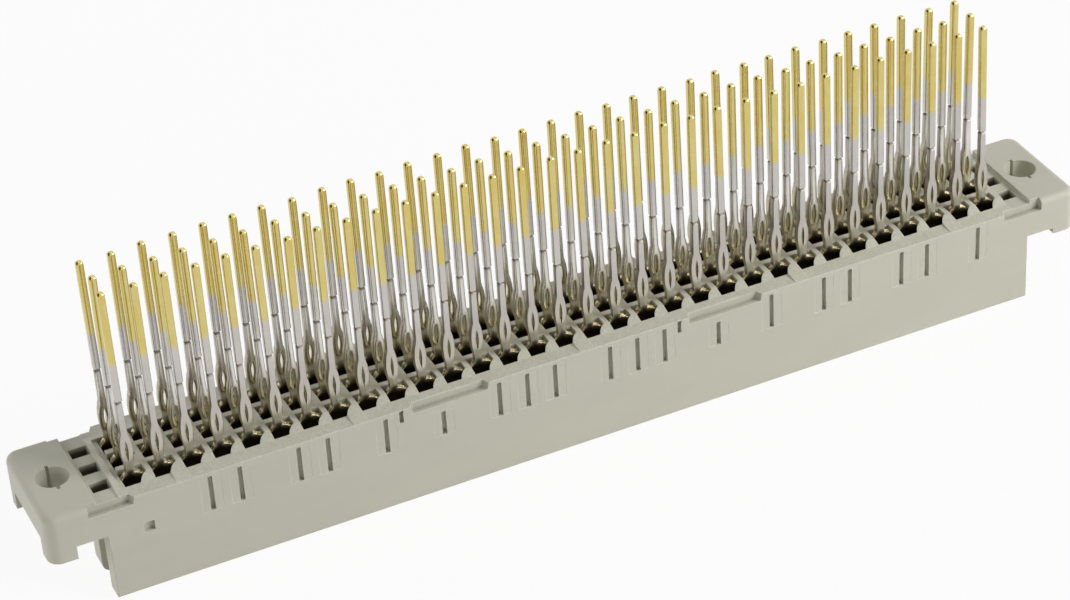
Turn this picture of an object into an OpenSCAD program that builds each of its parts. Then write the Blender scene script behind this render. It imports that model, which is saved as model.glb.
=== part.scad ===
// Backplane connector: a female strip with three rows of press-fit contacts,
// moulded in one piece with a screw flange at each end.
// X runs along the strip, Y across the rows, Z along the contact tails.
// The origin lies midway between the two flange holes, on the face that meets the board.

/* [Contact grid] */
// Number of contacts along the strip
columns = 32; // [16:1:32]
// Number of contacts across the strip
rows = 3; // [2:1:3]
// Distance between neighbouring columns
column_pitch = 2.54; // [2.5:0.01:2.8]
// Distance between neighbouring rows
row_pitch = 2.54; // [2.5:0.01:2.8]

/* [Body] */
// Height from the board face down to the mating face
body_h = 9.7; // [9:0.1:14]
// Length of the body beyond the axis of the end columns
body_end = 3.13; // [3:0.01:4]
// Width of the body beyond the axis of the outer rows
body_side = 2.76; // [2.6:0.01:3.4]
// Radius along the long edges of the mating face
mating_edge_r = 0.3; // [0.1:0.05:0.5]
// Width of the keyway in each end of the body
keyway_w = 2; // [1.5:0.1:2.2]
// Depth of the keyway in each end of the body
keyway_depth = 1; // [0.5:0.05:1.2]
// From the middle of the body to the middle of the keyway
keyway_y = 2.5; // [2.3:0.1:2.6]
// Width of the land between the keyway and the half that is set back
land_w = 1.7; // [1:0.1:2]
// How far that half of each end is set back
set_back = 1.3; // [0.5:0.05:1.4]
// Radius at the bottom of that land
land_r = 0.8; // [0.3:0.1:1]

/* [Flanges] */
// From the axis of the end column to the axis of the flange hole
hole_reach = 5.63; // [5.4:0.01:7]
// From the axis of the flange hole to the end of the flange
flange_reach = 2.5; // [2.3:0.1:4]
// Thickness of the flange
flange_t = 3.3; // [3.1:0.1:4]
// Radius of the upright corners of the flange
flange_corner_r = 1.1; // [0.8:0.1:1.6]
// Radius along the upper edge of the flange
flange_edge_r = 0.6; // [0.2:0.05:0.7]
// Diameter of the flange hole
hole_d = 2.8; // [2.4:0.1:3]
// From the hole axis to the bottom of its two relief grooves
groove_reach = 1.75; // [1.6:0.05:2]
// Width of these relief grooves
groove_w = 0.3; // [0.2:0.05:0.6]
// From the hole axis to the inner edge of the raised flange face
plateau_reach = 2; // [1.9:0.05:2.1]
// Length of the feet under the flange, along the strip
foot_l = 2.3; // [1.5:0.1:2.3]
// Width of the feet under the flange, across the strip
foot_w = 2; // [1.7:0.1:2.5]
// How far the feet of the left flange reach below it
left_foot_h = 1.2; // [0.4:0.1:1.6]
// How far the feet of the right flange reach below it
right_foot_h = 0.6; // [0.4:0.1:1.6]
// Depth of the hollow between the feet
foot_hollow = 0.5; // [0.2:0.1:0.8]

/* [Ends of the contact field] */
// Length of the raised border beyond the axis of the end columns
field_end = 1.78; // [1.3:0.01:1.9]
// Depth of the trough between the border and the flange face
trough_depth = 0.38; // [0.2:0.02:0.8]
// Length of the ledge between the left border and the first column
ledge_l = 0.5; // [0.3:0.05:0.6]
// Depth of that ledge below the board face
ledge_depth = 0.34; // [0.1:0.02:0.4]
// Length of the pockets in the trough
pocket_l = 1.55; // [0.8:0.05:1.6]
// Width of the pockets in the trough
pocket_w = 1.3; // [0.8:0.1:1.8]
// Depth of the pockets below the board face
pocket_depth = 2.6; // [1:0.1:2.8]

/* [Long sides] */
// Depth of the lowered strip along each long edge, below the board face
strip_depth = 0.3; // [0.1:0.01:0.5]
// Width of the slope from the lowered strip up to the field
slope_w = 1.05; // [0.8:0.05:1.4]
// How far that slope starts in front of the cells
slope_lead = 0.1; // [0.05:0.01:0.3]
// Width of the buttresses that cross the lowered strip
buttress_w = 1.3; // [0.8:0.1:1.6]
// How far the edge recesses reach into the body
recess_w = 0.6; // [0.4:0.05:0.7]
// Floor of the edge recesses below the board face
recess_depth = 1.02; // [0.8:0.02:1.3]
// Length of the two edge recesses near the middle
recess_l = 6.8; // [4:0.1:9]
// From the hole axis to the outer wall of the end recesses
end_recess_reach = 1.1; // [1:0.05:1.3]
// From the axis of the end column to the inner corner of the end recesses
end_recess_start = 0.75; // [0.5:0.05:1]
// Lean of the slanted ends of the recesses, in degrees
recess_lean = 8; // [4:1:30]
// Slant of these ends across the strip, in degrees
recess_slant = 28; // [10:1:45]
// Width of the slots in the long sides
slot_w = 0.42; // [0.3:0.02:0.6]
// Depth of the slots in the long sides
slot_depth = 0.5; // [0.2:0.05:0.6]
// Upper end of the slots below the board face
slot_top = 0.72; // [0.5:0.02:1]
// Upper end of the slots that start under a recess
short_slot_top = 1.76; // [1.5:0.02:2]
// Lower end of the slots below the board face
slot_bottom = 4.06; // [3:0.02:5]
// From the column axis to the middle of its slot
slot_shift = 0.6; // [0.4:0.05:0.8]
// Width of the sloping panel on the left of each slot
panel_w = 0.7; // [0.5:0.05:1]
// Depth of that panel at its lower end
panel_depth = 0.05; // [0.02:0.01:0.1]
// Width of the sloping band on the right of each slot
band_w = 0.75; // [0.5:0.05:0.9]
// Depth of that band at its right edge
band_depth = 0.02; // [0.01:0.01:0.1]
// Side of the square window under the end column
window_s = 0.95; // [0.6:0.05:1.2]
// Depth of the square window
window_depth = 0.35; // [0.2:0.05:0.5]
// Middle of the square window below the board face
window_drop = 3.6; // [3:0.1:5]
// Width of the small gate beside each middle recess
gate_w = 0.38; // [0.2:0.02:0.5]
// Height of the small gate
gate_h = 1.2; // [0.8:0.1:1.5]
// Top of the small gate below the board face
gate_top = 0.4; // [0.3:0.05:0.8]
// From the recess to the small gate
gate_gap = 0.75; // [0.5:0.05:1]

/* [Cells] */
// From the contact axis to the left wall of its cell
cell_left = 0.82; // [0.8:0.01:0.88]
// From the contact axis to the right wall of its cell
cell_right = 1.25; // [1.21:0.01:1.3]
// From the contact axis to the front wall of its cell
cell_front = 1.31; // [1.25:0.01:1.4]
// From the contact axis to the back wall of its cell
cell_back = 0.7; // [0.6:0.01:0.78]
// Length of the round lobe in the front corner of the cell, along the strip
lobe_l = 0.78; // [0.4:0.02:0.9]
// Width of that lobe, across the strip
lobe_w = 0.95; // [0.8:0.01:0.98]
// Radius of the round side of that lobe
lobe_r = 1.7; // [1.2:0.1:3]
// Depth of the cell mouth, where the contact shoulder sits
mouth_depth = 1.3; // [1.2:0.05:2]
// Size of the spring chamber along the strip
chamber_l = 1.2; // [1.1:0.02:1.3]
// Size of the spring chamber across the strip
chamber_w = 1.6; // [1.5:0.02:1.8]
// Side of the square pin entry in the mating wall
entry_s = 0.95; // [0.8:0.01:1.05]
// Thickness of the mating wall under the chambers
entry_t = 0.8; // [0.7:0.05:1]
// Side of the funnel where it opens in the mating face
funnel_s = 1.7; // [1.4:0.05:2]
// Depth of the funnel
funnel_depth = 0.55; // [0.3:0.05:0.6]

/* [Contacts] */
// Height of the post tips above the board face
tail_h = 17.4; // [12:0.1:20]
// Side of the square post
post_s = 0.6; // [0.5:0.01:0.64]
// Radius of the long edges of the post
post_edge_r = 0.12; // [0.05:0.01:0.15]
// Height of the notch that parts the post from the blade
notch_z = 7; // [6:0.1:8]
// Depth of the notch from each of its four sides
notch_depth = 0.14; // [0.05:0.01:0.2]
// Width of the flat blade at the board face
blade_w = 0.68; // [0.6:0.01:0.76]
// Width of the flat blade under the notch
neck_w = 0.48; // [0.4:0.01:0.6]
// Thickness of the strip that the contact is stamped from
stock_t = 0.6; // [0.5:0.01:0.7]
// Height of the middle of the press zone
eye_z = 2.3; // [2.1:0.05:2.6]
// Length of the swelling of the press zone
eye_l = 3.6; // [3:0.05:4]
// Width across the press zone
eye_w = 1.06; // [0.95:0.01:1.2]
// Length of the eye
eye_slot_l = 2; // [1.6:0.05:2.2]
// Width of the eye
eye_slot_w = 0.22; // [0.18:0.01:0.42]
// From the contact axis to the left end of its shoulder in the cell mouth
shoulder_left = 0.78; // [0.7:0.01:0.79]
// From the contact axis to the right, toothed end of its shoulder
shoulder_right = 1.18; // [1:0.01:1.2]
// Number of teeth on the right half of the shoulder
teeth = 3; // [2:1:4]
// Height of these teeth
tooth_h = 0.12; // [0.06:0.01:0.16]
// Height of the shoulder top above the board face
shoulder_top = 0.15; // [0.05:0.01:0.3]
// Drop of the sloping top of the shoulder
shoulder_drop = 0.5; // [0.3:0.05:0.8]
// Thickness of the spring arms
spring_t = 0.22; // [0.15:0.01:0.25]
// Width of the spring arms
spring_w = 0.9; // [0.7:0.02:1]
// Gap between the arms at their root and at their tips
arm_gap = 0.7; // [0.66:0.01:0.76]
// Gap between the arms where they grip a pin
grip_gap = 0.46; // [0.3:0.01:0.56]
// Height of the grip above the chamber floor
grip_h = 1.4; // [1:0.05:2]
// Clearance between the arm tips and the chamber floor
tip_clearance = 0.2; // [0.1:0.05:0.4]

/* [Hidden] */
// Columns whose slots show on the long sides
slot_columns = [3, 4, 6, 7, 9, 11, 13, 14, 15, 17, 18, 19, 21, 23, 25, 26, 28, 29, 31];
// Columns after which a buttress crosses the lowered strip
buttress_columns = [2, 8, 16, 24, 30];
// Columns from the middle of the strip to the middle of a recess
recess_columns = 5;

$fn = 48;
// Overlap of a cutter past the face that it opens
eps = 0.01;
// Size of a block that stands for all that lies beyond a plane
beyond = 20;

field_l = (columns - 1) * column_pitch;
field_w = (rows - 1) * row_pitch;
field_x = field_l / 2 + field_end;
body_l = field_l + 2 * body_end;
body_w = field_w + 2 * body_side;
half_w = body_w / 2;
hole_x = field_l / 2 + hole_reach;
flange_x = hole_x + flange_reach;
plateau_x = hole_x - plateau_reach;
recess_x = recess_columns * column_pitch;
column_axes = [for (c = [1:columns]) column_x(c)];
row_axes = [for (r = [1:rows]) (r - (rows + 1) / 2) * row_pitch];
chamber_floor = -body_h + entry_t;
spring_root = -mouth_depth - spring_t;
strip_w = half_w + row_axes[0] - cell_front - slope_lead;
tip_r = (post_s / 2 - post_edge_r) * sqrt(2) + post_edge_r + eps;

function column_x(c) = (c - (columns + 1) / 2) * column_pitch;
function column_node(c) = str("contact_column_", c < 10 ? "0" : "", c);
function under_recess(x) = abs(abs(x) - recess_x) < recess_l / 2;
function mirrored(points) = [for (i = [len(points) - 1:-1:0]) [-points[i][0], points[i][1]]];

// Solid drawn in the X-Z plane, as thick as t and centred on Y
module upright(t) {
    rotate([90, 0, 0])
        linear_extrude(t, center = true)
            children();
}

// Prism along the strip, drawn in the Y-Z plane and centred on X
module lengthwise(l) {
    rotate([90, 0, 90])
        linear_extrude(l, center = true)
            children();
}

// The same shape at both ends of the strip
module both_ends() {
    children();
    mirror([1, 0, 0]) children();
}

// The same shape on both long sides of the strip
module both_sides() {
    children();
    mirror([0, 1, 0]) children();
}

// Outline between two arcs, long in Y, whose width falls to base over the length
module lens(length, width, base) {
    sag = (width - base) / 2;
    r = (pow(length / 2, 2) + sag * sag) / (2 * sag);
    intersection_for (side = [-1, 1])
        translate([side * (r - width / 2), 0])
            circle(r, $fn = 3 * $fn);
}

// Section of the flange rim: upright outside, rounded along its upper edge
module rim_section() {
    inner = flange_corner_r - flange_edge_r;
    translate([0, -flange_t]) {
        square([inner, flange_t]);
        square([flange_corner_r, flange_t - flange_edge_r]);
    }
    translate([inner, -flange_edge_r])
        intersection() {
            circle(flange_edge_r);
            square(flange_edge_r);
        }
}

// Right-hand flange, with its rim round the three outer sides
module flange() {
    core_l = flange_x - flange_corner_r - body_l / 2;
    core_y = half_w - flange_corner_r;
    translate([body_l / 2, 0, 0]) {
        translate([0, -core_y, -flange_t])
            cube([core_l, 2 * core_y, flange_t]);
        translate([core_l, 0, 0])
            upright(2 * core_y)
                rim_section();
        both_sides()
            translate([0, core_y, 0]) {
                translate([core_l / 2, 0, 0])
                    lengthwise(core_l)
                        rim_section();
                translate([core_l, 0, 0])
                    rotate_extrude(angle = 90)
                        rim_section();
            }
    }
}

// Two feet under the right-hand flange, that keep to its round corners
module feet(h) {
    corner_x = flange_x - flange_corner_r;
    corner_y = half_w - flange_corner_r;
    translate([0, 0, -flange_t - h])
        linear_extrude(h)
            both_sides()
                intersection() {
                    translate([flange_x - foot_l, half_w - foot_w])
                        square([foot_l, foot_w]);
                    union() {
                        square([corner_x, half_w]);
                        square([flange_x, corner_y]);
                        translate([corner_x, corner_y])
                            circle(flange_corner_r);
                    }
                }
}

// Hollow in the underside of the right-hand flange, between its feet
module hollow() {
    translate([flange_x - foot_l, foot_w - half_w, -flange_t - eps])
        cube([foot_l + eps, body_w - 2 * foot_w, foot_hollow + eps]);
}

// Block of the body, rounded along the long edges of its mating face
module body() {
    flat_y = half_w - mating_edge_r;
    lengthwise(body_l) {
        translate([-half_w, mating_edge_r - body_h])
            square([body_w, body_h - mating_edge_r]);
        translate([-flat_y, -body_h])
            square([2 * flat_y, body_h]);
        for (side = [-1, 1])
            translate([side * flat_y, mating_edge_r - body_h])
                circle(mating_edge_r);
    }
}

// Keyway and set-back half in the right-hand end of the body, under the flange
module end_keying() {
    land_y = keyway_w / 2 - keyway_y;
    key_h = body_h - flange_t;
    translate([body_l / 2, 0, -body_h]) {
        translate([-keyway_depth, -keyway_y - keyway_w / 2, -eps])
            cube([keyway_depth + eps, keyway_w, key_h + eps]);
        translate([-set_back, land_y + land_w, -eps])
            cube([set_back + eps, half_w, key_h + eps]);
        translate([-land_r, land_y + land_w / 2, 0])
            upright(land_w)
                difference() {
                    translate([0, -eps])
                        square([land_r + eps, land_r + eps]);
                    translate([0, land_r])
                        circle(land_r);
                }
    }
}

// Hole through the right-hand flange, with two relief grooves across the strip
module flange_hole() {
    cut_h = flange_t + 2 * eps;
    translate([hole_x, 0, -flange_t - eps]) {
        cylinder(d = hole_d, h = cut_h);
        translate([-groove_w / 2, -groove_reach, 0])
            cube([groove_w, 2 * groove_reach, cut_h]);
    }
}

// Trough between the contact field and the right-hand flange, with its pockets
module trough() {
    translate([field_x, -half_w - eps, -trough_depth])
        cube([plateau_x - field_x, body_w + 2 * eps, trough_depth + eps]);
    for (y = row_axes)
        translate([field_x, y - pocket_w / 2, -pocket_depth])
            cube([pocket_l, pocket_w, pocket_depth]);
}

// Lowered strip along the front edge and the slope behind it, crossed by the buttresses
module edge_strip() {
    translate([0, -half_w, 0])
        difference() {
            lengthwise(2 * field_x)
                polygon([
                    [-eps, eps],
                    [-eps, -strip_depth],
                    [strip_w, -strip_depth],
                    [strip_w + slope_w, 0],
                    [strip_w + slope_w, eps]
                ]);
            for (c = buttress_columns)
                translate([column_x(c + 1) - cell_left - buttress_w / 2, 0, 0])
                    lengthwise(buttress_w)
                        polygon([
                            [0, -strip_depth - eps],
                            [0, -strip_depth],
                            [strip_w + slope_w, 0],
                            [strip_w + slope_w, -strip_depth - eps]
                        ]);
        }
}

// Ledge along the left wall of the first column of cells
module first_ledge() {
    translate([column_x(1) - cell_left - ledge_l, row_axes[0] - cell_front, -ledge_depth])
        cube([ledge_l + eps, field_w + cell_front + cell_back, ledge_depth + eps]);
}

// All that lies beyond the slanted right-hand end of a recess
module slanted_end() {
    rotate(recess_slant)
        rotate([0, recess_lean, 0])
            translate([0, -beyond / 2, -beyond / 2])
                cube(beyond);
}

// Recess in the front edge, from left to right along its floor
module recess(left, right, left_slants) {
    lean_l = recess_depth * tan(recess_lean) / cos(recess_slant) + eps;
    start = left_slants ? left - lean_l : left;
    translate([0, -half_w, -recess_depth])
        difference() {
            translate([start, -eps, 0])
                cube([right + lean_l - start, recess_w + eps, recess_depth + eps]);
            translate([right, 0, 0])
                slanted_end();
            if (left_slants)
                translate([left, 0, 0])
                    mirror([1, 0, 0])
                        slanted_end();
        }
}

// The four recesses along the front edge
module edge_recesses() {
    both_ends()
        mirror([1, 0, 0])
            recess(end_recess_reach - hole_x, -field_l / 2 - end_recess_start, false);
    for (x = [-recess_x, recess_x])
        recess(x - recess_l / 2, x + recess_l / 2, true);
}

// Upright slot in the front face, with a sloping panel on its left and a sloping band on its right
module side_slot(x) {
    top = under_recess(x) ? short_slot_top : slot_top;
    slot_h = slot_bottom - top;
    translate([x - slot_w / 2, -half_w, -slot_bottom]) {
        translate([0, -eps, 0])
            cube([slot_w, slot_depth + eps, slot_h]);
        translate([(slot_w - panel_w) / 2, 0, 0])
            lengthwise(panel_w + slot_w)
                polygon([[0, slot_h], [-eps, slot_h], [-eps, 0], [panel_depth, 0]]);
        linear_extrude(slot_h)
            polygon([[0, 0], [0, -eps], [slot_w + band_w, -eps], [slot_w + band_w, band_depth]]);
    }
}

// Slots, window and gates in the front face
module side_marks() {
    for (c = slot_columns)
        if (c < columns) side_slot(column_x(c) + slot_shift);
    translate([column_x(1) - window_s / 4, -half_w - eps, -window_drop - window_s / 2])
        cube([window_s, window_depth + eps, window_s]);
    for (x = [-recess_x, recess_x])
        translate([x - recess_l / 2 - gate_gap - gate_w, -half_w - eps, -gate_top - gate_h])
            cube([gate_w, slot_depth + eps, gate_h]);
}

// Half section of a cell below its mouth: funnel, pin entry and spring chamber
module cell_section(chamber) {
    half = [
        [funnel_s / 2 + eps, -body_h - eps],
        [entry_s / 2, -body_h + funnel_depth],
        [entry_s / 2, chamber_floor],
        [chamber / 2, chamber_floor],
        [chamber / 2, eps - mouth_depth]
    ];
    polygon(concat(half, mirrored(half)));
}

// Mouth of a cell, with a round lobe in its front right corner
module cell_mouth() {
    chord = norm([lobe_l, lobe_w]);
    sink = sqrt(lobe_r * lobe_r - chord * chord / 4) / chord;
    difference() {
        translate([-cell_left, -cell_front])
            square([cell_left + cell_right, cell_front + cell_back]);
        translate([cell_right - lobe_l / 2 + sink * lobe_w, lobe_w / 2 - cell_front - sink * lobe_l])
            circle(lobe_r);
    }
}

// All cells: long cuts under the columns meet long cuts under the rows
module cells() {
    intersection() {
        for (x = column_axes)
            translate([x, 0, 0])
                upright(body_w)
                    cell_section(chamber_l);
        for (y = row_axes)
            translate([0, y, 0])
                lengthwise(body_l)
                    cell_section(chamber_w);
    }
    translate([0, 0, -mouth_depth])
        linear_extrude(mouth_depth + eps)
            for (x = column_axes, y = row_axes)
                translate([x, y])
                    cell_mouth();
}

// One-piece moulding that holds the contacts
module housing() {
    color("#b9b7a6")
        difference() {
            union() {
                body();
                both_ends() flange();
                feet(right_foot_h);
                mirror([1, 0, 0]) feet(left_foot_h);
            }
            both_ends() {
                flange_hole();
                trough();
                hollow();
                end_keying();
            }
            both_sides() {
                edge_strip();
                edge_recesses();
                side_marks();
            }
            first_ledge();
            cells();
        }
}

// Section of the post: a square with round edges
module post_section() {
    flat = post_s - 2 * post_edge_r;
    square([post_s, flat], center = true);
    square([flat, post_s], center = true);
    for (x = [-flat / 2, flat / 2], y = [-flat / 2, flat / 2])
        translate([x, y])
            circle(post_edge_r);
}

// Square post above the notch, with a domed tip
module post() {
    shaft_h = tail_h - notch_z - tip_r;
    translate([0, 0, notch_z])
        linear_extrude(shaft_h)
            post_section();
    translate([0, 0, tail_h - tip_r])
        intersection() {
            sphere(tip_r);
            linear_extrude(tip_r)
                post_section();
        }
}

// Stamped outline below the notch: blade, press zone with its eye, and shoulder
module stamping() {
    base_z = shoulder_top - shoulder_drop;
    run = (shoulder_right - blade_w / 2) / teeth;
    rise = shoulder_drop / teeth;
    right_teeth = [for (i = [0:teeth - 1], crest = [0, 1])
        [shoulder_right - (i + crest / 4) * run, base_z + i * rise + crest * tooth_h]];
    polygon(concat(
        [[spring_w / 2, spring_root], [spring_w / 2, -mouth_depth], [shoulder_right, -mouth_depth]],
        right_teeth,
        [[blade_w / 2, shoulder_top], [-blade_w / 2, shoulder_top]],
        [[-shoulder_left, base_z], [-shoulder_left, -mouth_depth]],
        [[-spring_w / 2, -mouth_depth], [-spring_w / 2, spring_root]]
    ));
    difference() {
        union() {
            polygon([[-blade_w / 2, 0], [blade_w / 2, 0], [neck_w / 2, notch_z], [-neck_w / 2, notch_z]]);
            translate([0, eye_z])
                lens(eye_l, eye_w, neck_w);
        }
        translate([0, eye_z])
            lens(eye_slot_l, eye_slot_w, 0);
    }
}

// Fork that grips a pin: two arms that close on the grip and flare at the tips
module spring_fork() {
    grip_z = chamber_floor + grip_h;
    tip_z = chamber_floor + tip_clearance;
    half = [
        [arm_gap / 2, spring_root],
        [grip_gap / 2, grip_z],
        [arm_gap / 2, tip_z],
        [arm_gap / 2 + spring_t, tip_z],
        [grip_gap / 2 + spring_t, grip_z],
        [arm_gap / 2 + spring_t, spring_root],
        [arm_gap / 2 + spring_t, -mouth_depth]
    ];
    lengthwise(spring_w)
        polygon(concat(half, mirrored(half)));
}

// One contact, stamped and formed from a single strip
module contact() {
    notch_s = notch_depth * sqrt(2);
    difference() {
        union() {
            upright(stock_t)
                stamping();
            post();
        }
        for (turn = [0:90:270])
            rotate(turn)
                translate([post_s / 2, 0, notch_z])
                    rotate([0, 45, 0])
                        cube([notch_s, stock_t + post_s, notch_s], center = true);
    }
    spring_fork();
}

// The contacts of one column, one for each row
module contact_column(c) {
    color("#c9c7bf")
        for (y = row_axes)
            translate([column_x(c), y, 0])
                contact();
}

housing();
for (c = [1:columns])
    contact_column(c);
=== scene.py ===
"""Backplane connector, finished for rendering and set on a pale stage.

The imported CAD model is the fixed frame. The housing keeps its CAD solid and gets a moulded finish.
The contacts are one stamped blank that Geometry Nodes set out on the contact grid, and they stand
for the CAD model's contact columns.
"""

import math
from collections import namedtuple
from functools import reduce
from operator import mul

import bmesh
import bpy
from bpy.props import FloatProperty, FloatVectorProperty, IntProperty, PointerProperty
from bpy.types import Operator, Panel, PropertyGroup
from mathutils import Euler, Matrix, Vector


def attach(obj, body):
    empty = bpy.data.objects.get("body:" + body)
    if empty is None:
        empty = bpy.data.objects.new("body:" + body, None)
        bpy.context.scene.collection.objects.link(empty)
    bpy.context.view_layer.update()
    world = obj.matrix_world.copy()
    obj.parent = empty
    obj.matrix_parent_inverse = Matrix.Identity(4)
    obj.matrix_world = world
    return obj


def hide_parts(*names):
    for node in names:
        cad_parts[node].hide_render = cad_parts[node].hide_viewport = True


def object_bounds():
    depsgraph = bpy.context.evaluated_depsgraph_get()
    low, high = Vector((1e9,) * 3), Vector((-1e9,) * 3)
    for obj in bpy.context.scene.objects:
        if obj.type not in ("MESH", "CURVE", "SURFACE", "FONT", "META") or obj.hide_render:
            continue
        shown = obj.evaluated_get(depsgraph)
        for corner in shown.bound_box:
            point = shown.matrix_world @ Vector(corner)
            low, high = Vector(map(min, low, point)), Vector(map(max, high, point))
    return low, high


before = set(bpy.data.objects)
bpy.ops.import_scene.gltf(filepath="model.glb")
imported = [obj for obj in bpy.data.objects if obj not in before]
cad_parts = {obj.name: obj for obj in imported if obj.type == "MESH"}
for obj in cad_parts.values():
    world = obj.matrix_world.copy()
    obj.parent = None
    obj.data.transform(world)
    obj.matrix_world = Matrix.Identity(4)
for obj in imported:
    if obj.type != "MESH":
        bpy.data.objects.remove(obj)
CAD_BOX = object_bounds()
MM = 0.001
WHITE = (1.0, 1.0, 1.0, 1.0)

bl_info = {
    "name": "Backplane connector",
    "version": (1, 0, 0),
    "blender": (4, 5, 0),
    "location": "3D View > Sidebar > Connector",
    "description": "Finishes a packed backplane connector and sets it on a pale stage",
    "category": "Object",
}


def length(name, description, mm):
    """A length of the object, given in millimetres and kept in metres."""
    return FloatProperty(
        name=name, description=description, default=mm * MM, unit="LENGTH", precision=5
    )


def colour(name, description, red, green, blue):
    """A colour as a screen shows it, from 0 to 255, kept as Blender's linear values."""
    linear = [((c / 255 + 0.055) / 1.055) ** 2.4 for c in (red, green, blue)]
    return FloatVectorProperty(
        name=name, description=description, default=linear, subtype="COLOR", min=0, max=1
    )


def share(name, description, value):
    """A plain number from 0 to 1."""
    return FloatProperty(
        name=name, description=description, default=value, min=0, max=1, subtype="FACTOR"
    )


def power(name, description, watts):
    """The power of a lamp."""
    return FloatProperty(name=name, description=description, default=watts, min=0, unit="POWER")


class ContactSizes(PropertyGroup):
    """Sizes of one contact and of the grid that the contacts stand on"""

    columns: IntProperty(name="Columns", description="Contacts along the strip", default=32, min=1)
    rows: IntProperty(name="Rows", description="Contacts across the strip", default=3, min=1)
    column_pitch: length("Column pitch", "Spacing along the strip", 2.54)
    row_pitch: length("Row pitch", "Spacing across the strip", 2.54)
    tail_height: length("Tail height", "Height of the post tips above the board face", 17.4)
    post_side: length("Post side", "Side of the square post", 0.6)
    post_edge: length("Post edge radius", "Radius of the long edges of the post", 0.12)
    notch_height: length("Notch height", "Height of the notch between post and blade", 7)
    notch_depth: length("Notch depth", "Depth of the notch from each of its four sides", 0.14)
    blade_width: length("Blade width", "Width of the flat blade at the board face", 0.68)
    neck_width: length("Neck width", "Width of the flat blade under the notch", 0.48)
    stock: length("Stock thickness", "Thickness of the stamped strip", 0.6)
    eye_height: length("Eye height", "Height of the middle of the press zone", 2.3)
    eye_length: length("Press zone length", "Length of the swelling of the press zone", 3.6)
    eye_width: length("Press zone width", "Width across the press zone", 1.06)
    slot_length: length("Eye length", "Length of the eye", 2)
    slot_width: length("Eye width", "Width of the eye", 0.22)
    coined_edge: length("Coined edge", "Rounding round the eye", 0.05)
    shoulder_left: length("Left shoulder", "Reach of the shoulder to the left", 0.78)
    shoulder_right: length("Right shoulder", "Reach of the toothed shoulder to the right", 1.18)
    teeth: IntProperty(name="Teeth", description="Teeth on the right shoulder", default=3, min=1)
    tooth_height: length("Tooth height", "Height of the teeth on the shoulder", 0.12)
    shoulder_top: length("Shoulder top", "Height of the shoulder above the board face", 0.15)
    shoulder_drop: length("Shoulder drop", "Drop of the sloping top of the shoulder", 0.5)
    seat_depth: length("Seat depth", "Depth of the ledge that carries the shoulder", 1.3)
    spring_thickness: length("Spring thickness", "Thickness of the spring arms", 0.22)
    spring_width: length("Spring width", "Width of the spring arms", 0.9)
    arm_gap: length("Arm gap", "Gap between the spring arms at root and tip", 0.7)
    grip_gap: length("Grip gap", "Gap between the spring arms at the grip", 0.46)
    grip_depth: length("Grip depth", "Depth of the grip below the board face", 7.5)
    arm_depth: length("Arm depth", "Depth of the arm tips below the board face", 8.7)
    stamped_edge: length("Stamped edge", "Rounding of the stamped edges", 0.06)
    lean: length("Lean", "Most that a tip stands off its axis", 0.12)
    seed: IntProperty(
        name="Seed", description="Seed of the lean and tone of the contacts", default=5, min=0
    )


class ContactFinish(PropertyGroup):
    """Plating of the contacts, with painted light, painted shade and painted glints on them"""

    gold: colour("Gold", "Gilt plating of the upper post", 214, 202, 134)
    tin: colour("Tin", "Tin plating of blade and press zone", 200, 197, 190)
    # Painted light: the upper blades are made paler where they face the other rows
    painted_light_tin: colour("Bright tin", "Blades where they face the other rows", 238, 236, 230)
    sheared: colour("Sheared edge", "Stamped edge where the copper alloy shows", 118, 101, 77)
    # Painted shade: this dark tone covers the contact where it sinks into the cell, darkens the notch and
    # lays dark streaks on the press zones
    shoulder: colour("Shoulder", "Darker plating of the shoulder in the cell", 96, 84, 62)
    # Painted shade: a warm, duller tone on the press zones, most on the faces that look at the other rows
    painted_press_shade: colour("Tarnish", "Press zones, most where they face the other rows", 212, 202, 166)
    # Painted glints on the press zones and on the teeth of the shoulder
    glint: colour("Glint", "Bright streaks of the press zones and teeth of the shoulder", 240, 228, 184)
    plating_line: length("Plating line", "Height at which the gilt part starts", 10.6)
    gold_roughness: share("Gold roughness", "Roughness of the gilt part", 0.2)
    tin_roughness: share("Tin roughness", "Roughness of the tinned part", 0.22)


class HousingFinish(PropertyGroup):
    """Finish of the moulded housing, with painted shade in its depths and painted highlights on its edges
    """

    plastic: colour("Plastic", "Pebble grey of the moulding", 202, 201, 185)
    # Painted shade: the depth shade darkens the pockets, the recess ends and the recess corners, and the
    # cell shade darkens the contact cells
    depth_shade: colour("Depth shade", "Tone deep inside the pockets and recesses", 66, 56, 38)
    cell_shade: colour("Cell shade", "Tone deep inside the contact cells", 142, 136, 120)
    # Paler tone of the edges and of the ribs between the cells: partly wear, partly a painted highlight
    # where they catch the light
    worn_and_highlit_edge: colour("Rubbed edge", "Paler tone of rubbed edges and ribs", 236, 233, 220)
    edge_radius: length("Edge radius", "Rounding of the moulded edges", 0.09)
    roughness: share("Roughness", "Mean roughness of the moulding", 0.5)


class StageSetting(PropertyGroup):
    """Floor, light and camera"""

    floor: colour("Floor", "Colour of the floor", 246, 246, 246)
    room: FloatProperty(
        name="Room light", description="Strength of the light from all sides", default=0.155, min=0
    )
    key_power: power("Key power", "Power of the large lamp at the front right", 1.12)
    side_power: power("Side power", "Power of the lamp at the left end", 0.52)
    back_power: power("Back power", "Power of the lamp behind", 0.48)
    top_power: power("Top power", "Power of the lamp above", 0.14)
    camera_place: FloatVectorProperty(
        name="Camera place",
        description="Where the camera stands",
        default=(-0.09189, -0.20943, 0.15822),
        subtype="TRANSLATION",
        unit="LENGTH",
    )
    camera_turn: FloatVectorProperty(
        name="Camera turn",
        description="How the camera is turned",
        default=[math.radians(a) for a in (55.545, 3.262, -25.393)],
        subtype="EULER",
        unit="ROTATION",
    )
    lens: FloatProperty(
        name="Lens", description="Focal length", default=111.58, min=1, unit="CAMERA"
    )


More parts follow.
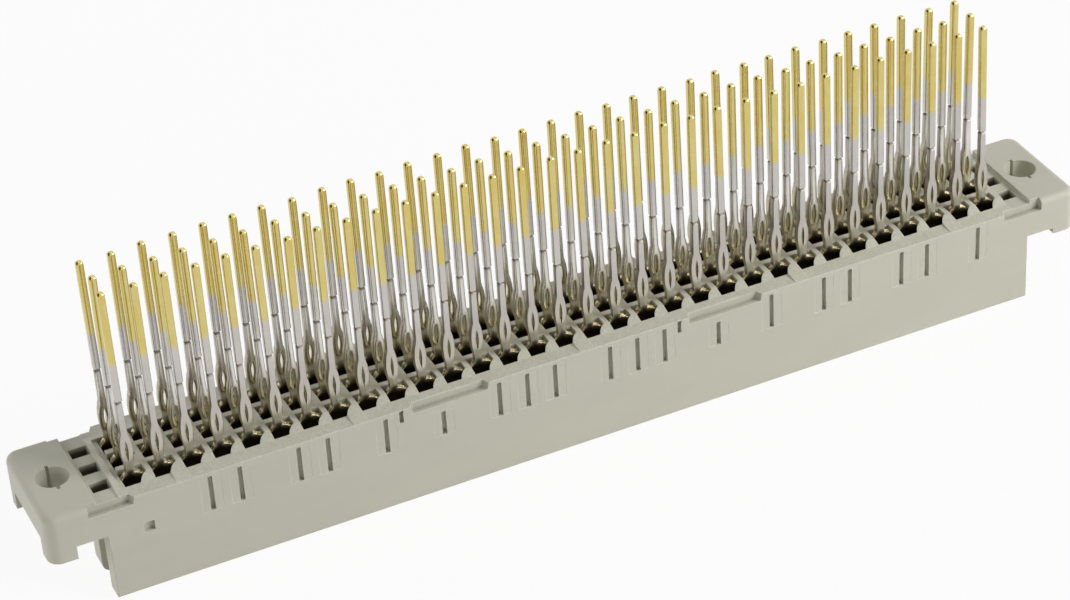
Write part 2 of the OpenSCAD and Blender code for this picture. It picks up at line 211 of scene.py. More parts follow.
class Wire:
    """A socket in a node tree. Arithmetic on it adds Math nodes, and node() adds any other node."""

    def __init__(self, tree, socket=None):
        self.tree = tree
        self.socket = socket

    def node(self, kind, sockets, output=0, **settings):
        """Adds a node, gives it its settings, then the values or links of its sockets."""
        node = self.tree.nodes.new(kind)
        for name, value in settings.items():
            setattr(node, name, value)
        for key, value in sockets.items():
            if isinstance(value, Wire):
                self.tree.links.new(value.socket, node.inputs[key])
            else:
                node.inputs[key].default_value = value
        if output is None:
            return [Wire(self.tree, socket) for socket in node.outputs]
        return Wire(self.tree, node.outputs[output])

    def math(self, operation, *values):
        """Adds a Math node."""
        return self.node("ShaderNodeMath", dict(enumerate(values)), operation=operation)

    def __add__(self, other):
        return self.math("ADD", self, other)

    def __radd__(self, other):
        return self.math("ADD", other, self)

    def __sub__(self, other):
        return self.math("SUBTRACT", self, other)

    def __rsub__(self, other):
        return self.math("SUBTRACT", other, self)

    def __mul__(self, other):
        return self.math("MULTIPLY", self, other)

    def __rmul__(self, other):
        return self.math("MULTIPLY", other, self)

    def __truediv__(self, other):
        return self.math("DIVIDE", self, other)

    def __rtruediv__(self, other):
        return self.math("DIVIDE", other, self)

    def __abs__(self):
        return self.math("ABSOLUTE", self)

    def most(self, other):
        """The larger of two values."""
        return self.math("MAXIMUM", self, other)

    def rise(self, low, high):
        """0 at low, 1 at high and smooth between; low may be the larger."""
        return self.node(
            "ShaderNodeMapRange",
            {"Value": self, "From Min": low, "From Max": high},
            interpolation_type="SMOOTHSTEP",
        )

    def blend(self, first, second):
        """Mixes two colours by this value."""
        return self.node("ShaderNodeMix", {0: self, 6: first, 7: second}, output=2, data_type="RGBA")


def rgba(tone, strength=1.0):
    """A colour for a socket, darker where its strength is under 1."""
    return (*[c * strength for c in tone], 1.0)


def within(*fades):
    """One mask from several: each is a value, and the pair of where its mask is 0 and where it is 1."""
    return reduce(mul, [value.rise(*fade) for value, fade in fades])


def new_finish(name):
    """An empty material: itself, a wire to add nodes with, its shader, and its place in millimetres."""
    material = bpy.data.materials.new(name)
    material.use_nodes = True
    tree = material.node_tree
    shader = next(n for n in tree.nodes if n.type == "BSDF_PRINCIPLED")
    wire = Wire(tree)
    place = wire.node("ShaderNodeTexCoord", {}, output="Object")
    mm = wire.node("ShaderNodeVectorMath", {0: place, "Scale": 1 / MM}, operation="SCALE")
    return material, wire, shader, mm


def stretched_noise(wire, mm, stretch, detail):
    """Noise whose grain is as many times finer along each axis as stretch says."""
    grain = wire.node("ShaderNodeVectorMath", {0: mm, 1: stretch}, operation="MULTIPLY")
    return wire.node("ShaderNodeTexNoise", {"Vector": grain, "Scale": 1.0, "Detail": detail})


def feed(wire, shader, **values):
    """Links wires to the shader's sockets and sets plain values on them."""
    for name, value in values.items():
        socket = shader.inputs[name.replace("_", " ")]
        if isinstance(value, Wire):
            wire.tree.links.new(value.socket, socket)
        else:
            socket.default_value = value


# Fades of the moulded finish: where a mask is 0 and where it is 1, in millimetres from the middle of
# the strip or from the board face
CELL_ENDS = (41.1, 40.9)
CELL_SIDES = (3.95, 3.87)
CELL_MOUTHS = (-0.32, -0.7)
CELL_FLOORS = (-9.5, -9.0)
POCKET_INNER_ENDS = (41.1, 41.2)
POCKET_OUTER_ENDS = (43.1, 43.0)
POCKET_SIDES = (4.0, 3.6)
POCKET_MOUTHS = (-0.42, -1.0)
POCKET_FLOORS = (-3.1, -3.0)
RECESS_ENDS = (44.4, 44.2)
RECESS_FRONT = (5.28, 5.2)
RECESS_BACK = (4.5, 4.6)
RECESS_MOUTH = (-0.02, -0.1)
RECESS_FLOOR = (-1.08, -1.06)
CORNER_SIDE = (5.15, 4.75)
CORNER_DEPTH = (-0.85, -1.0)
RIB_ENDS = (41.2, 41.0)
RIB_TOPS = (-0.6, -0.3)
WORN_AND_HIGHLIT_DEPTH = (-4.6, -4.2)
BAND_FACE = (5.22, 5.26)
BAND_TOPS = (-0.6, -0.7)
BAND_FEET = (-4.3, -4.1)

# How much of each other tone covers the plain plastic where its mask is 1. The specks are the plastic's
# own, the recess ends, corners and pockets take painted shade, and the ribs take a paler tone of wear and
# painted highlight.
SPECK_COVER = 0.08
RECESS_END_COVER = 0.3
CORNER_COVER = 0.35
POCKET_COVER = 0.85
RIB_COVER = 0.35

# How dark the flow marks and the specks are against the plain plastic
FLOW_SHADE = 0.97
SPECK_SHADE = 0.72
# How much the roughness changes with the grain and with the flow marks
GRAIN_GLOSS = 0.22
FLOW_GLOSS = 0.12
GRAIN_DEPTH = 0.004 * MM


def moulded_finish(look):
    """Matte pebble-grey plastic with flow marks, fine grain, painted shade in its depths, and pale edges
    and ribs that show wear and a painted highlight.
    """
    material, wire, shader, mm = new_finish("moulded_housing")
    x, y, z = wire.node("ShaderNodeSeparateXYZ", {0: mm}, output=None)
    end, side = abs(x), abs(y)
    flow = stretched_noise(wire, mm, stretch=(0.12, 0.5, 0.5), detail=4.0)
    speck = stretched_noise(wire, mm, stretch=(9.0, 9.0, 9.0), detail=3.0)
    grain = stretched_noise(wire, mm, stretch=(5.0, 5.0, 5.0), detail=4.0)

    tone = flow.rise(0.3, 0.7).blend(rgba(look.plastic, FLOW_SHADE), rgba(look.plastic))
    tone = (speck.rise(0.62, 0.75) * SPECK_COVER).blend(tone, rgba(look.plastic, SPECK_SHADE))

    # Masks of painted shade: the cells, the pockets, the recess walls that face along the strip and the
    # back corners of the recess floors
    cells = within((end, CELL_ENDS), (side, CELL_SIDES), (z, CELL_MOUTHS), (z, CELL_FLOORS))
    pockets = within((end, POCKET_INNER_ENDS), (end, POCKET_OUTER_ENDS), (side, POCKET_SIDES))
    pockets = pockets * z.rise(*POCKET_MOUTHS) * z.rise(*POCKET_FLOORS)
    recess = within((end, RECESS_ENDS), (side, RECESS_FRONT), (side, RECESS_BACK))
    recess = recess * z.rise(*RECESS_MOUTH) * z.rise(*RECESS_FLOOR)
    facing = wire.node("ShaderNodeTexCoord", {}, output="Normal")
    endwise = abs(wire.node("ShaderNodeSeparateXYZ", {0: facing}, output="X"))
    ends = recess * endwise.rise(0.4, 0.8) * RECESS_END_COVER
    corner = recess * side.rise(*CORNER_SIDE) * z.rise(*CORNER_DEPTH) * CORNER_COVER
    # Painted shade: darker tones laid on the recess ends and corners, on the pockets and on the cells
    tone = ends.most(corner).blend(tone, rgba(look.depth_shade))
    tone = (pockets * POCKET_COVER).blend(tone, rgba(look.depth_shade))
    tone = cells.blend(tone, rgba(look.cell_shade))

    edge = wire.node("ShaderNodeBevel", {"Radius": look.edge_radius}, samples=6)
    flat = wire.node("ShaderNodeNewGeometry", {}, output="True Normal")
    along = wire.node(
        "ShaderNodeVectorMath", {0: edge, 1: flat}, output="Value", operation="DOT_PRODUCT"
    )
    # Paler tone on the edges and on the ribs: partly wear, partly a painted highlight where they catch the
    # light
    outside = (1.0 - cells) * (1.0 - pockets) * z.rise(*WORN_AND_HIGHLIT_DEPTH)
    worn_and_highlit = along.rise(0.998, 0.9) * outside * (0.5 + grain.rise(0.35, 0.6) * 0.5)
    ribs = within((end, RIB_ENDS), (z, RIB_TOPS)) * grain.rise(0.3, 0.65)
    tone = (ribs * RIB_COVER).most(worn_and_highlit).blend(tone, rgba(look.worn_and_highlit_edge))

    # The shallow bands beside the slots keep their crisp steps
    banded = within((side, BAND_FACE), (z, BAND_TOPS), (z, BAND_FEET))
    crisp = wire.node(
        "ShaderNodeMix", {0: banded, 4: edge, 5: flat}, output=1, data_type="VECTOR"
    )
    height = grain + speck * 0.4
    normal = wire.node(
        "ShaderNodeBump",
        {"Strength": 0.35, "Distance": GRAIN_DEPTH, "Height": height, "Normal": crisp},
    )
    feed(
        wire,
        shader,
        Base_Color=tone,
        Roughness=look.roughness + (grain - 0.5) * GRAIN_GLOSS + (flow - 0.5) * FLOW_GLOSS,
        Specular_IOR_Level=0.42,
        Normal=normal,
    )
    return material


# Fades of the plating: where a mask is 0 and where it is 1, in millimetres. Heights are above the board
# face. A face is turned out by how much it faces its long side, times how far from the middle it is.
TURNED_OUT = (0.4, 1.6)
TURNED_IN = (1.6, 0.4)
PAINTED_LIGHT_BLADE = (8.2, 5.0)
WARM_BLADE = (7.2, 3.6)
PRESS_ZONE = (4.4, 1.6)
SUNK_IN_CELL = (0.6, -0.4)
TEETH_TOPS = (0.2, 0.12)
TEETH_FEET = (-0.4, -0.33)
NOTCH_REACH = (0.18, 0.1)
GILT_BORDER = (-0.4, 0.4)

# How much of each other tone covers the plating where its mask is 1. The paler blade is painted light, the
# dark streaks and the notch are painted shade, and the glints are painted glints; the sheared and drawn
# tones are the metal's own.
PAINTED_LIGHT_COVER = 0.6
SHEARED_COVER = 0.7
WARM_COVER = 0.17
PAINTED_DARK_STREAK_COVER = 0.35
GLINT_COVER = 0.85
PAINTED_NOTCH_SHADE_COVER = 0.6
DRAWN_COVER = 0.1

# Share of red, green and blue that is left where the gilt is rich
RICH_GOLD = (0.97, 0.86, 0.62)
# How dark the clouds and the drawing marks are against the plain tin
CLOUD_SHADE = 0.88
DRAWN_SHADE = 0.5
DRAWN_DEPTH = 0.006 * MM
# How far the plating line shifts from contact to contact and along its own edge, in millimetres
LINE_SHIFT = 0.3
LINE_WAVER = 0.5
# How much rougher the plating is with the drawing marks, on bare edges and in the notch
DRAWN_GLOSS = 0.2
BARE_GLOSS = 0.1
NOTCH_GLOSS = 0.35


def plated_finish(look, sizes):
    """Gilt post, tinned blade and bare stamped edges, with fine drawing marks along the contact, and
    painted light, shade and glints on blade, press zone, shoulder and notch.
    """
    material, wire, shader, mm = new_finish("plated_contact")
    _, y, z = wire.node("ShaderNodeSeparateXYZ", {0: mm}, output=None)
    facing = wire.node("ShaderNodeTexCoord", {}, output="Normal")
    outward = wire.node("ShaderNodeSeparateXYZ", {0: facing}, output="Y") * y
    tone, bare = (
        wire.node(
            "ShaderNodeAttribute", {}, output="Fac", attribute_name=name, attribute_type="GEOMETRY"
        )
        for name in ("tone", "sheared")
    )
    drawn = stretched_noise(wire, mm, stretch=(16.0, 16.0, 0.35), detail=3.0)
    cloud = stretched_noise(wire, mm, stretch=(1.6, 1.6, 0.7), detail=3.0)
    ragged = stretched_noise(wire, mm, stretch=(5.0, 5.0, 1.0), detail=2.0)

    line = look.plating_line / MM + (tone - 0.5) * LINE_SHIFT + (ragged - 0.5) * LINE_WAVER
    gilt = (z - line).rise(*GILT_BORDER)
    rich = [c * k for c, k in zip(look.gold, RICH_GOLD)]
    gold = (cloud.rise(0.3, 0.7) * 0.6 + tone * 0.4).blend(rgba(look.gold), rgba(rich))

    clouded = cloud.rise(0.35, 0.75) * 0.55 + tone * 0.3
    tin = clouded.blend(rgba(look.tin), rgba(look.tin, CLOUD_SHADE))
    inward = outward.rise(*TURNED_IN)
    # Painted light on the upper blades where they face the other rows
    tin = (inward * z.rise(*PAINTED_LIGHT_BLADE) * PAINTED_LIGHT_COVER).blend(tin, rgba(look.painted_light_tin))
    tin = (bare * drawn.rise(0.25, 0.55) * SHEARED_COVER).blend(tin, rgba(look.sheared))
    warm = outward.rise(*TURNED_OUT) * z.rise(*WARM_BLADE)
    tin = (warm * WARM_COVER).blend(tin, rgba(look.sheared))
    # Painted shade on the press zones, most on the faces that look at the other rows, with painted dark
    # streaks and painted glints in it
    press = (0.25 + inward * 0.75) * z.rise(*PRESS_ZONE)
    tin = (press * (0.35 + drawn.rise(0.35, 0.6) * 0.5)).blend(tin, rgba(look.painted_press_shade))
    tin = (press * drawn.rise(0.5, 0.6) * PAINTED_DARK_STREAK_COVER).blend(tin, rgba(look.shoulder))
    tin = (press * drawn.rise(0.4, 0.32) * GLINT_COVER).blend(tin, rgba(look.glint))
    # Painted shade where the contact sinks into the cell
    tin = z.rise(*SUNK_IN_CELL).blend(tin, rgba(look.shoulder))
    # Painted glints on the teeth of the shoulder
    teeth = bare * z.rise(*TEETH_TOPS) * z.rise(*TEETH_FEET)
    tin = (teeth * ragged.rise(0.42, 0.6)).blend(tin, rgba(look.glint))
    # Painted shade in the notch
    notch = abs(z - sizes.notch_height / MM).rise(*NOTCH_REACH)
    tin = (notch * PAINTED_NOTCH_SHADE_COVER).blend(tin, rgba(look.shoulder))

    plating = gilt.blend(tin, gold)
    plating = (drawn.rise(0.45, 0.8) * DRAWN_COVER).blend(plating, rgba(look.tin, DRAWN_SHADE))
    rough = look.tin_roughness + gilt * (look.gold_roughness - look.tin_roughness)
    normal = wire.node(
        "ShaderNodeBump", {"Strength": 0.3, "Distance": DRAWN_DEPTH, "Height": drawn}
    )
    feed(
        wire,
        shader,
        Base_Color=plating,
        Metallic=1.0,
        Roughness=rough + (drawn - 0.5) * DRAWN_GLOSS + bare * BARE_GLOSS + notch * NOTCH_GLOSS,
        Normal=normal,
    )
    return material


def arc_swell(offset, span, base, full):
    """Half width at an offset from the middle of a swelling with arc sides, as in the solids."""
    sag = (full - base) / 2
    radius = (span * span / 4 + sag * sag) / (2 * sag)
    if abs(offset) >= span / 2:
        return base / 2
    return math.sqrt(radius * radius - offset * offset) - radius + full / 2


# A level of the stamped part: its height, its reach to the left and right, half its thickness, half
# the eye and the coining round the eye
Level = namedtuple("Level", "z left right half slot coin", defaults=(0.0, 0.0))

# Levels over the length of the press zone
EYE_STEPS = 24
# Share of a tooth's run at which its crest stands
TOOTH_CREST = 0.25
# Share of the coining at which its rounding is broken
COIN_BREAK = 0.3
# Vertices closer than this are one
MERGE_DISTANCE = 0.001 * MM


def blade_levels(s):
    """Levels of the stamped part, from the spring root up."""
    root, base = -s.seat_depth - s.spring_thickness, s.shoulder_top - s.shoulder_drop
    half, spring = s.stock / 2, s.spring_width / 2
    levels = [
        Level(root, spring, spring, half),
        Level(-s.seat_depth, spring, spring, half),
        Level(-s.seat_depth + s.stamped_edge, s.shoulder_left, s.shoulder_right, half),
    ]
    run = (s.shoulder_right - s.blade_width / 2) / s.teeth
    rise = s.shoulder_drop / s.teeth
    fall = (s.shoulder_left - s.blade_width / 2) / s.shoulder_drop
    for i in range(s.teeth):
        for runs, up in ((i, 0.0), (i + TOOTH_CREST, s.tooth_height)):
            z = i * rise + up
            left, right = s.shoulder_left - fall * z, s.shoulder_right - runs * run
            levels.append(Level(base + z, left, right, half))
    for i in range(-1, EYE_STEPS + 1):
        offset = (i / EYE_STEPS - 0.5) * s.eye_length
        z = s.shoulder_top if i < 0 else s.eye_height + offset
        plain = (s.blade_width + (s.neck_width - s.blade_width) * z / s.notch_height) / 2
        wide = max(plain, arc_swell(offset, s.eye_length, s.neck_width, s.eye_width))
        slot = arc_swell(offset, s.slot_length, 0.0, s.slot_width)
        levels.append(Level(z, wide, wide, half, slot, slot * s.coined_edge * 2 / s.slot_width))
    neck, pinch = s.neck_width / 2, s.post_side / 2 - s.notch_depth
    levels.append(Level(s.notch_height + pinch - half, neck, neck, half))
    levels.append(Level(s.notch_height + pinch - neck, neck, neck, neck))
    levels.append(Level(s.notch_height, pinch, pinch, pinch))
    return levels


def stamp_blade(bm, s):
    """Shoulder, press zone with its coined eye, and blade: two strips that join beyond the eye."""
    sheared = bm.faces.layers.float["sheared"]
    weight = bm.edges.layers.float["bevel_weight_edge"]
    levels = blade_levels(s)
    rounded = []
    made = []
    for side in (-1, 1):
        outer, inner = [], []
        for z, left, right, half, slot, coin in levels:
            wide = left if side < 0 else right
            cut = coin * COIN_BREAK
            wall = [(slot + coin, -half), (slot + cut, cut - half), (slot, coin - half)]
            wall += [(x, -y) for x, y in wall[::-1]]
            outer.append([bm.verts.new((side * wide, y, z)) for y in (-half, half)])
            inner.append([bm.verts.new((side * x, y, z)) for x, y in wall])
        made += [v for ring in outer + inner for v in ring]
        for i in range(len(levels) - 1):
            a, b, c, d = inner[i], outer[i], outer[i + 1], inner[i + 1]
            bm.faces.new((a[0], b[0], c[0], d[0]))
            bm.faces.new((a[-1], d[-1], c[1], b[1]))
            bm.faces.new((b[0], b[1], c[1], c[0]))[sheared] = 1.0
            rounded += [(b[0], c[0]), (b[1], c[1])]
            if levels[i].slot > 0 or levels[i + 1].slot > 0:
                for k in range(len(a) - 1):
                    bm.faces.new((a[k], d[k], d[k + 1], a[k + 1]))
        bm.faces.new((inner[0][0], inner[0][-1], outer[0][1], outer[0][0]))
        bm.faces.new((inner[-1][0], outer[-1][0], outer[-1][1], inner[-1][-1]))
    for pair in rounded:
        bm.edges.get(pair)[weight] = 1.0
    bmesh.ops.remove_doubles(bm, verts=made, dist=MERGE_DISTANCE)
    bmesh.ops.delete(bm, geom=[v for v in bm.verts if not v.link_faces], context="VERTS")


# Heights of the rings of the domed tip, as shares of its radius
DOME_RINGS = (0.45, 0.66, 0.82, 0.93)
# Faces round each long edge of the post
EDGE_STEPS = 3


def turn_post(bm, s):
    """Square post with rounded long edges and a domed tip, closed at the notch."""
    half, edge = s.post_side / 2, s.post_edge
    flat = half - edge
    dome = flat * math.sqrt(2) + edge
    section = []
    for corner in range(4):
        turn = corner * math.pi / 2
        cx = flat if corner in (0, 3) else -flat
        cy = flat if corner in (0, 1) else -flat
        for step in range(EDGE_STEPS + 1):
            a = turn + step * math.pi / (2 * EDGE_STEPS)
            section.append((cx + edge * math.cos(a), cy + edge * math.sin(a)))
    foot, neck = s.notch_height, s.notch_height + s.notch_depth
    shaft = s.tail_height - dome
    pinch = 1 - s.notch_depth / half
    rings = [[(pinch * x, pinch * y, foot) for x, y in section]]
    rings.append([(x, y, neck) for x, y in section])
    rings.append([(x, y, shaft) for x, y in section])
    for rise in DOME_RINGS:
        reach = dome * math.sqrt(1 - rise * rise)
        ring = []
        for x, y in section:
            k = min(1.0, reach / math.hypot(x, y))
            ring.append((k * x, k * y, shaft + rise * dome))
        rings.append(ring)
    loops = [[bm.verts.new(p) for p in ring] for ring in rings]
    count = len(section)
    for low, high in zip(loops, loops[1:]):
        for i in range(count):
            j = (i + 1) % count
            bm.faces.new((low[i], low[j], high[j], high[i]))
    bm.faces.new(list(reversed(loops[0])))
    tip = bm.verts.new((0, 0, s.tail_height))
    for i in range(count):
        bm.faces.new((loops[-1][i], loops[-1][(i + 1) % count], tip))


def fold_fork(bm, s):
    """Two spring arms that close on the grip and flare at the tips, with a bridge under the shoulder."""
    half = s.spring_width / 2
    root, seat = -s.seat_depth - s.spring_thickness, -s.seat_depth
    t, wide, narrow = s.spring_thickness, s.arm_gap / 2, s.grip_gap / 2
    inner = [(wide, root), (narrow, -s.grip_depth), (wide, -s.arm_depth)]
    outer = [(wide + t, root), (narrow + t, -s.grip_depth), (wide + t, -s.arm_depth)]
    right = inner + outer[::-1]
    outline = right + [(wide + t, seat), (-wide - t, seat)] + [(-y, z) for y, z in right[::-1]]
    near = [bm.verts.new((-half, y, z)) for y, z in outline]
    far = [bm.verts.new((half, y, z)) for y, z in outline]
    count = len(outline)
    for i in range(count):
        j = (i + 1) % count
        bm.faces.new((near[i], near[j], far[j], far[i]))
    # Each side is closed by two faces for each arm and one for the bridge
    for loop in (near, far):
        bm.faces.new((loop[0], loop[1], loop[4], loop[5]))
        bm.faces.new((loop[1], loop[2], loop[3], loop[4]))
        bm.faces.new((loop[8], loop[9], loop[12], loop[13]))
        bm.faces.new((loop[9], loop[10], loop[11], loop[12]))
        bm.faces.new((loop[0], loop[5], loop[6], loop[7], loop[8], loop[13]))


def contact_blank(s):
    """One contact about its own axis, on the board face."""
    bm = bmesh.new()
    bm.faces.layers.float.new("sheared")
    bm.edges.layers.float.new("bevel_weight_edge")
    stamp_blade(bm, s)
    turn_post(bm, s)
    fold_fork(bm, s)
    bmesh.ops.recalc_face_normals(bm, faces=bm.faces)
    mesh = bpy.data.meshes.new("contact_blank")
    bm.to_mesh(mesh)
    bm.free()
    return mesh


def contact_field():
    """Geometry Nodes that set out a contact on the grid and let each lean a little, from its eye up."""
    tree = bpy.data.node_groups.new("contact_field", "GeometryNodeTree")
    tree.interface.new_socket("Contacts", in_out="OUTPUT", socket_type="NodeSocketGeometry")
    for name, kind in (
        ("Contact", "Geometry"),
        ("Columns", "Int"),
        ("Rows", "Int"),
        ("Column pitch", "Float"),
        ("Row pitch", "Float"),
        ("Lean", "Float"),
        ("Lean from", "Float"),
        ("Tip height", "Float"),
        ("Seed", "Int"),
        ("Plating", "Material"),
    ):
        tree.interface.new_socket(name, in_out="INPUT", socket_type="NodeSocket" + kind)
    wire = Wire(tree)
    entry = tree.nodes.new("NodeGroupInput")
    given = {socket.name: Wire(tree, socket) for socket in entry.outputs if socket.name}

    grid = wire.node(
        "GeometryNodeMeshGrid",
        {
            "Size X": (given["Columns"] - 1.0) * given["Column pitch"],
            "Size Y": (given["Rows"] - 1.0) * given["Row pitch"],
            "Vertices X": given["Columns"],
            "Vertices Y": given["Rows"],
        },
    )
    field = wire.node("GeometryNodeInstanceOnPoints", {"Points": grid, "Instance": given["Contact"]})
    stand = wire.node(
        "FunctionNodeRandomValue",
        {0: (-1.0, -1.0, 0.0), 1: (1.0, 1.0, 0.0), "Seed": given["Seed"]},
        data_type="FLOAT_VECTOR",
    )
    tone = wire.node(
        "FunctionNodeRandomValue",
        {2: 0.0, 3: 1.0, "Seed": given["Seed"] + 1.0},
        output=1,
        data_type="FLOAT",
    )
    for name, value, kind in (("stand", stand, "FLOAT_VECTOR"), ("tone", tone, "FLOAT")):
        field = wire.node(
            "GeometryNodeStoreNamedAttribute",
            {"Geometry": field, "Name": name, "Value": value},
            data_type=kind,
            domain="INSTANCE",
        )
    field = wire.node("GeometryNodeRealizeInstances", {"Geometry": field})
    place = wire.node("GeometryNodeInputPosition", {})
    z = wire.node("ShaderNodeSeparateXYZ", {0: place}, output="Z")
    above = (z - given["Lean from"]).most(0.0) / (given["Tip height"] - given["Lean from"])
    stood = wire.node(
        "GeometryNodeInputNamedAttribute", {"Name": "stand"}, data_type="FLOAT_VECTOR"
    )
    offset = wire.node(
        "ShaderNodeVectorMath", {0: stood, "Scale": above * given["Lean"]}, operation="SCALE"
    )
    field = wire.node("GeometryNodeSetPosition", {"Geometry": field, "Offset": offset})
    field = wire.node("GeometryNodeSetMaterial", {"Geometry": field, "Material": given["Plating"]})
    exit_node = tree.nodes.new("NodeGroupOutput")
    tree.links.new(field.socket, exit_node.inputs[0])
    return tree


def set_inputs(modifier, values):
    """Gives a Geometry Nodes modifier its named inputs."""
    items = modifier.node_group.interface.items_tree
    sockets = {item.name: item.identifier for item in items if item.in_out == "INPUT"}
    for name, value in values.items():
        modifier[sockets[name]] = value


# Faces that meet at more than this are shaded apart
SHARP_ANGLE = math.radians(38)


def as_plain_mesh(piece):
    """Turns what a piece's modifiers make into its own mesh, and takes the modifiers off."""
    depsgraph = bpy.context.evaluated_depsgraph_get()
    mesh = bpy.data.meshes.new_from_object(
        piece.evaluated_get(depsgraph), preserve_all_data_layers=True, depsgraph=depsgraph
    )
    piece.modifiers.clear()
    piece.data = mesh
    mesh.shade_smooth()
    mesh.set_sharp_from_angle(angle=SHARP_ANGLE)


def new_piece(name, mesh):
    """A new object in the scene, with its mesh."""
    piece = bpy.data.objects.new(name, mesh)
    bpy.context.scene.collection.objects.link(piece)
    return piece


class CONNECTOR_OT_finish_housing(Operator):
    """Gives the housing its moulded finish"""

    bl_idname = "connector.finish_housing"
    bl_label = "Finish the housing"

    def execute(self, context):
        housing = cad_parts["housing"]
        housing.data.materials.clear()
        housing.data.materials.append(moulded_finish(context.scene.connector_housing))
        return {"FINISHED"}


class CONNECTOR_OT_set_contacts(Operator):
    """Stamps one contact and sets it out on the grid"""

    bl_idname = "connector.set_contacts"
    bl_label = "Set the contacts"

    def execute(self, context):
        sizes = context.scene.connector_sizes
        contacts = new_piece("contacts", contact_blank(sizes))
        rounding = contacts.modifiers.new("stamped_edges", "BEVEL")
        rounding.limit_method = "WEIGHT"
        rounding.width = sizes.stamped_edge
        rounding.segments = 3
        rounding.use_clamp_overlap = False
        field = contacts.modifiers.new("contact_field", "NODES")
        field.node_group = contact_field()
        set_inputs(
            field,
            {
                "Columns": sizes.columns,
                "Rows": sizes.rows,
                "Column pitch": sizes.column_pitch,
                "Row pitch": sizes.row_pitch,
                "Lean": sizes.lean,
                "Lean from": sizes.eye_height,
                "Tip height": sizes.tail_height,
                "Seed": sizes.seed,
                "Plating": plated_finish(context.scene.connector_plating, sizes),
            },
        )
        as_plain_mesh(contacts)
        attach(contacts, "root")
        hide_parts(*[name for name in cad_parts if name.startswith("contact_column")])
        return {"FINISHED"}


FLOOR_SIZE = 3.0
# The floor lies this far under the mating face
FLOOR_GAP = 0.02 * MM
# How much of the floor glows white where it is seen, so that the rest shows the shadow
FLOOR_GLOW = 0.92

# Way to the dark gap in the room, how near to it the gap starts and is full, and how dark it is
GAP_WAY = (-0.85, -0.05, 0.53)
GAP_FADE = (0.52, 0.74)
GAP_COVER = 0.94


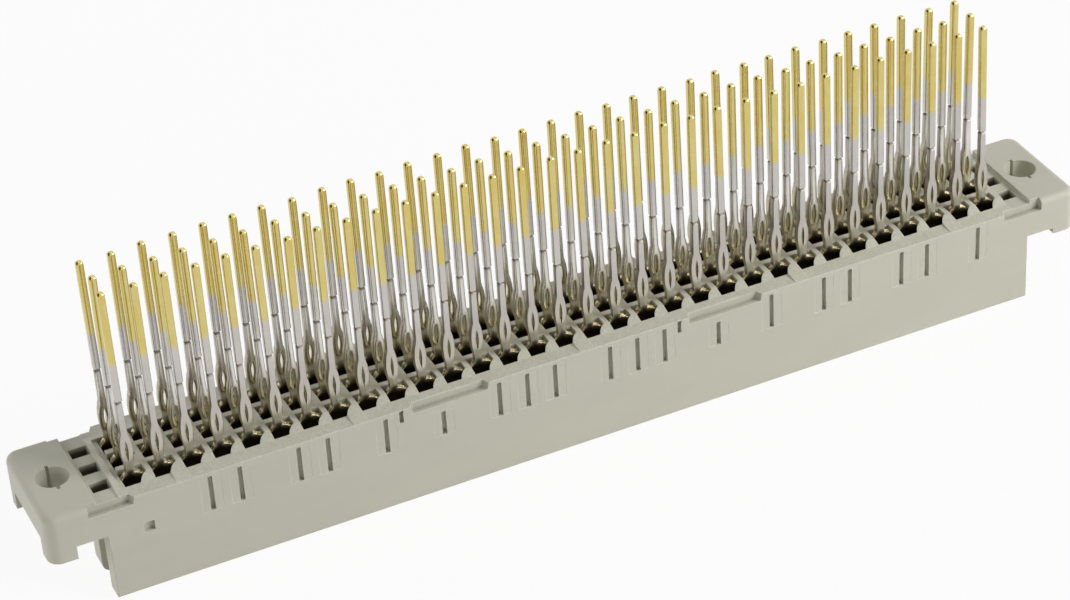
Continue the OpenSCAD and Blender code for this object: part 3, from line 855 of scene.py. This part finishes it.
class CONNECTOR_OT_set_stage(Operator):
    """Lays the floor, hangs the lamps and places the camera"""

    bl_idname = "connector.set_stage"
    bl_label = "Set the stage"

    def execute(self, context):
        scene = context.scene
        stage = scene.connector_stage
        self.lay_floor(stage)
        self.light_room(scene, stage)
        self.hang_lamps(scene, stage)
        self.place_camera(scene, stage)
        scene.view_settings.view_transform = "Standard"
        return {"FINISHED"}

    def hang_lamps(self, scene, stage):
        """Area lamps round the part, of which the one at the left and the one behind leave no glints."""
        for name, watts, size, place, turn, glints in (
            ("key_lamp", stage.key_power, 0.2, (0.26, -0.22, 0.2), (60, 0, 50), True),
            ("side_lamp", stage.side_power, 0.25, (-0.4, -0.01, 0.12), (74, 0, -89), False),
            ("back_lamp", stage.back_power, 0.3, (-0.1, 0.4, 0.16), (-68, 0, 14), False),
            ("top_lamp", stage.top_power, 0.4, (0.0, 0.05, 0.5), (0, 0, 0), True),
        ):
            lamp = bpy.data.lights.new(name, "AREA")
            lamp.energy = watts
            lamp.size = size
            hung = bpy.data.objects.new(name, lamp)
            hung.location = place
            hung.rotation_euler = [math.radians(a) for a in turn]
            hung.visible_glossy = glints
            scene.collection.objects.link(hung)

    def place_camera(self, scene, stage):
        """The camera of the scene, at the left and above."""
        camera = bpy.data.objects.new("camera", bpy.data.cameras.new("camera"))
        camera.data.lens = stage.lens
        camera.data.clip_start = 0.01
        camera.location = stage.camera_place
        camera.rotation_euler = Euler(stage.camera_turn, "XYZ")
        scene.collection.objects.link(camera)
        scene.camera = camera

    def lay_floor(self, stage):
        """A wide floor under the mating face: pale to the eye, with the soft shadow kept."""
        bm = bmesh.new()
        bmesh.ops.create_grid(bm, x_segments=8, y_segments=8, size=FLOOR_SIZE)
        bmesh.ops.translate(bm, verts=bm.verts, vec=(0, 0, CAD_BOX[0].z - FLOOR_GAP))
        mesh = bpy.data.meshes.new("floor")
        bm.to_mesh(mesh)
        bm.free()
        floor = new_piece("floor", mesh)
        material, wire, shader, _ = new_finish("pale_floor")
        feed(wire, shader, Base_Color=rgba(stage.floor), Roughness=0.8, Specular_IOR_Level=0.1)
        seen = self.seen(wire)
        glow = wire.node("ShaderNodeEmission", {"Color": WHITE, "Strength": 1.0})
        lit = Wire(wire.tree, shader.outputs[0])
        floor_mix = wire.node("ShaderNodeMixShader", {0: seen * FLOOR_GLOW, 1: lit, 2: glow})
        output = next(n for n in wire.tree.nodes if n.type == "OUTPUT_MATERIAL")
        wire.tree.links.new(floor_mix.socket, output.inputs["Surface"])
        mesh.materials.append(material)

    def light_room(self, scene, stage):
        """Even light from all sides, white to the eye and in metal, with one dark gap high at the left."""
        world = bpy.data.worlds.new("room")
        world.use_nodes = True
        scene.world = world
        wire = Wire(world.node_tree)
        background = next(n for n in world.node_tree.nodes if n.type == "BACKGROUND")
        background.inputs["Color"].default_value = WHITE
        seen = self.seen(wire)
        way = wire.node("ShaderNodeTexCoord", {}, output="Generated")
        near = wire.node(
            "ShaderNodeVectorMath", {0: way, 1: GAP_WAY}, output="Value", operation="DOT_PRODUCT"
        )
        mirrored = wire.node("ShaderNodeLightPath", {}, output="Is Glossy Ray")
        gap = near.rise(*GAP_FADE) * mirrored * GAP_COVER
        strength = (stage.room + seen * (1.0 - stage.room)) * (1.0 - gap)
        world.node_tree.links.new(strength.socket, background.inputs["Strength"])

    def seen(self, wire):
        """1 for rays from the camera and for rays that a glossy or clear surface sends on."""
        path = {w.socket.name: w for w in wire.node("ShaderNodeLightPath", {}, output=None)}
        return path["Is Camera Ray"].most(path["Is Glossy Ray"]).most(path["Is Transmission Ray"])


class CONNECTOR_PT_panel(Panel):
    """Pieces of the connector and its stage"""

    bl_label = "Backplane connector"
    bl_idname = "CONNECTOR_PT_panel"
    bl_space_type = "VIEW_3D"
    bl_region_type = "UI"
    bl_category = "Connector"

    def draw(self, context):
        scene = context.scene
        for group, operator in (
            (scene.connector_housing, CONNECTOR_OT_finish_housing),
            (scene.connector_sizes, CONNECTOR_OT_set_contacts),
            (scene.connector_plating, None),
            (scene.connector_stage, CONNECTOR_OT_set_stage),
        ):
            box = self.layout.box()
            for name in group.__annotations__:
                box.prop(group, name)
            if operator:
                box.operator(operator.bl_idname)


CLASSES = (
    ContactSizes,
    ContactFinish,
    HousingFinish,
    StageSetting,
    CONNECTOR_OT_finish_housing,
    CONNECTOR_OT_set_contacts,
    CONNECTOR_OT_set_stage,
    CONNECTOR_PT_panel,
)


def register():
    for cls in CLASSES:
        bpy.utils.register_class(cls)
    bpy.types.Scene.connector_sizes = PointerProperty(type=ContactSizes)
    bpy.types.Scene.connector_plating = PointerProperty(type=ContactFinish)
    bpy.types.Scene.connector_housing = PointerProperty(type=HousingFinish)
    bpy.types.Scene.connector_stage = PointerProperty(type=StageSetting)


def unregister():
    for name in ("connector_sizes", "connector_plating", "connector_housing", "connector_stage"):
        delattr(bpy.types.Scene, name)
    for cls in reversed(CLASSES):
        bpy.utils.unregister_class(cls)


def main():
    register()
    bpy.ops.connector.finish_housing()
    bpy.ops.connector.set_contacts()
    bpy.ops.connector.set_stage()


if __name__ == "__main__":
    main()
